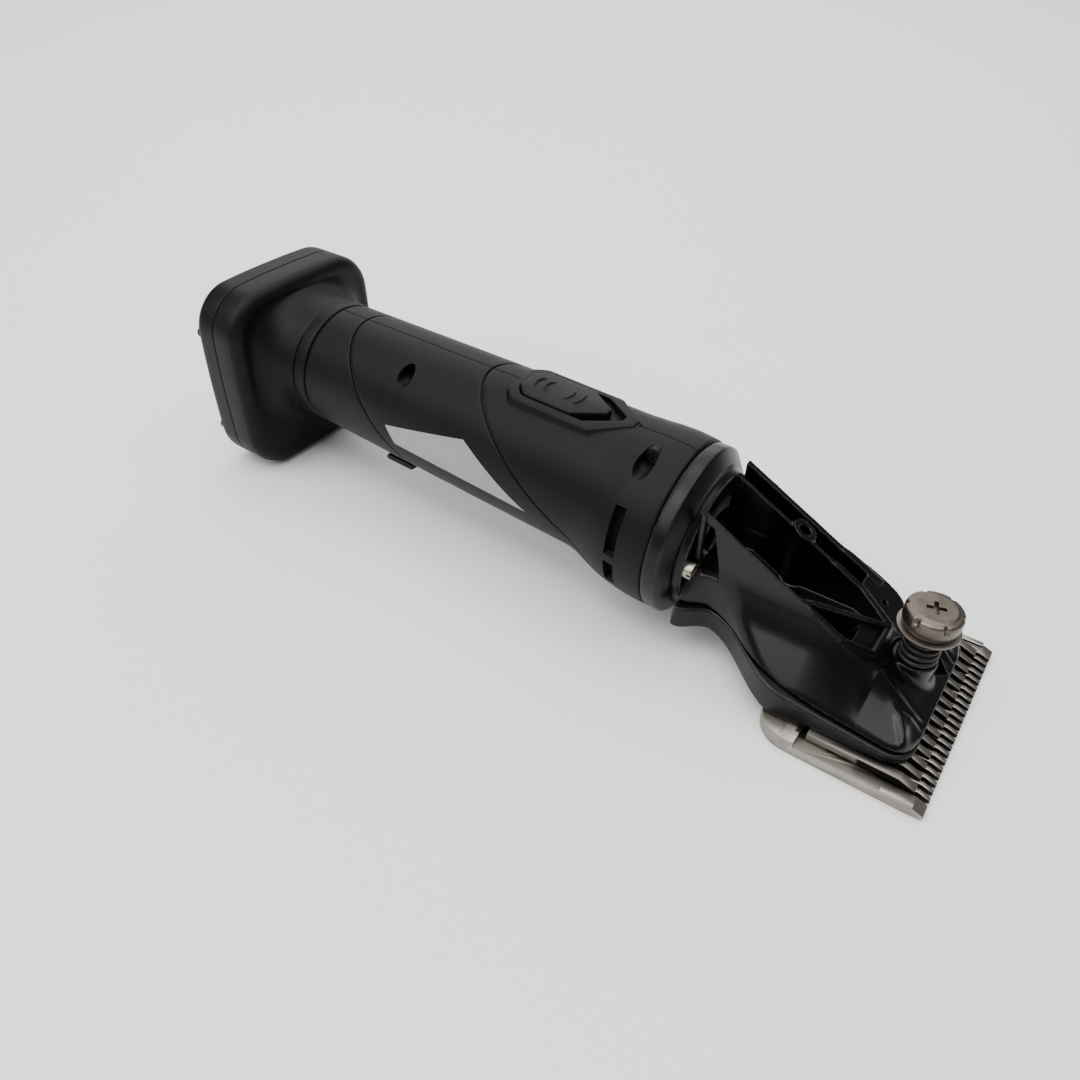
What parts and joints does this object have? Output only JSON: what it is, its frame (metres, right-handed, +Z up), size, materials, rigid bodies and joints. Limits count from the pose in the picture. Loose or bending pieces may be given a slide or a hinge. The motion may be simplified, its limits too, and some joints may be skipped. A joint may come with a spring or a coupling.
{
  "type": "livestock clipper",
  "caption": "Cordless livestock clipper with a fine toothed comb and cutter, tension knob, ribbed cutting head, round handle with thumb switch and slab battery pack",
  "frame": {"origin": "middle of the footprint, on the table it lies on", "axes": "+X from the battery pack to the comb's teeth, +Z up on the tension knob's side"},
  "size_m": [0.291, 0.076, 0.0746],
  "materials": {
    "shell_plastic": "fine satin grain",
    "pack_plastic": "fine satin grain",
    "button_plastic": "satin",
    "dark_plastic": "satin",
    "screen": "open mesh",
    "black_enamel": "gloss",
    "grey_enamel": "satin",
    "blade_steel": "ground",
    "nickel": "satin nickel plate",
    "steel": "machined",
    "dark_steel": "oil-black",
    "aluminium": "cast",
    "brass": "cut",
    "copper": "lacquered winding",
    "board": "solder mask",
    "cell_wrap": "shrink wrap",
    "gold": "plated"
  },
  "bodies": {
    "handle": {"handle_shell_near": "shell_plastic", "handle_shell_far": "shell_plastic", "shell_screws": "dark_steel", "switch_body": "dark_plastic", "control_board": "board", "vent_screens": "screen", "motor_can": "steel", "gear_plate": "aluminium", "crank_bearing": "steel", "head_collar": "grey_enamel", "collar_screws": "nickel", "head_housing": "black_enamel", "head_base": "grey_enamel", "pivot_post": "steel", "comb_blade": "blade_steel", "comb_screws": "nickel", "tension_bolt": "nickel", "tension_spring": "dark_steel", "battery_socket": "dark_plastic", "socket_contacts": "gold", "latch_pin": "steel"},
    "switch": {"switch_button": "button_plastic"},
    "rotor": {"motor_rotor": "copper", "pinion": "brass"},
    "crank": {"crank": "steel", "crank_gear": "brass"},
    "lever": {"drive_lever": "steel"},
    "cutter": {"cutter_blade": "blade_steel"},
    "washer": {"tension_washer": "nickel"},
    "knob": {"tension_knob": "nickel"},
    "latch": {"latch_lever": "button_plastic"},
    "battery": {"battery_front_shell": "pack_plastic", "battery_rear_shell": "pack_plastic", "battery_cells": "cell_wrap", "battery_board": "board", "battery_screws": "dark_steel"}
  },
  "joints": [
    {"name": "switch_slide", "type": "slide", "parent": "handle", "child": "switch", "axis": [0.9993, 0, -0.0366], "range_m": [0, 0.005]},
    {"name": "rotor_spin", "type": "hinge", "parent": "handle", "child": "rotor", "pos_m": [0.00753, 0, 0.03927], "axis": [0.9993, 0, -0.0366], "continuous": true},
    {"name": "crank_spin", "type": "hinge", "parent": "handle", "child": "crank", "pos_m": [0.047, 0, 0.02421], "axis": [0.9993, 0, -0.0366], "continuous": true},
    {"name": "lever_swing", "type": "hinge", "parent": "handle", "child": "lever", "pos_m": [0.0875, 0, 0.014], "axis": [0, 0, 1], "range_deg": [-3.7, 3.7]},
    {"name": "cutter_slide", "type": "slide", "parent": "handle", "child": "cutter", "axis": [0, 1, 0], "range_m": [-0.0025, 0.0025]},
    {"name": "knob_turn", "type": "hinge", "parent": "washer", "child": "knob", "pos_m": [0.1265, 0, 0.036], "axis": [0, 0, 1], "range_deg": [-361, 361]},
    {"name": "washer_slide", "type": "slide", "parent": "handle", "child": "washer", "axis": [0, 0, 1], "range_m": [-0.001, 0.001], "deforming": ["tension_spring"]},
    {"name": "battery_slide", "type": "slide", "parent": "handle", "child": "battery", "axis": [-0.9993, 0, 0.0366], "range_m": [0, 0.045]},
    {"name": "latch_press", "type": "hinge", "parent": "handle", "child": "latch", "pos_m": [-0.08314, 0, 0.02278], "axis": [0, 1, 0], "range_deg": [-4, 0], "stiffness_Nm_per_rad": 0.12, "springref_deg": 8.59}
  ],
  "couplings": [
    {"joint": "crank_spin", "follows": "rotor_spin", "ratio": -0.41667},
    {"joint": "lever_swing", "follows": "cutter_slide", "rad_per_m": 25.641},
    {"joint": "knob_turn", "follows": "washer_slide", "rad_per_m": 6283.2}
  ]
}
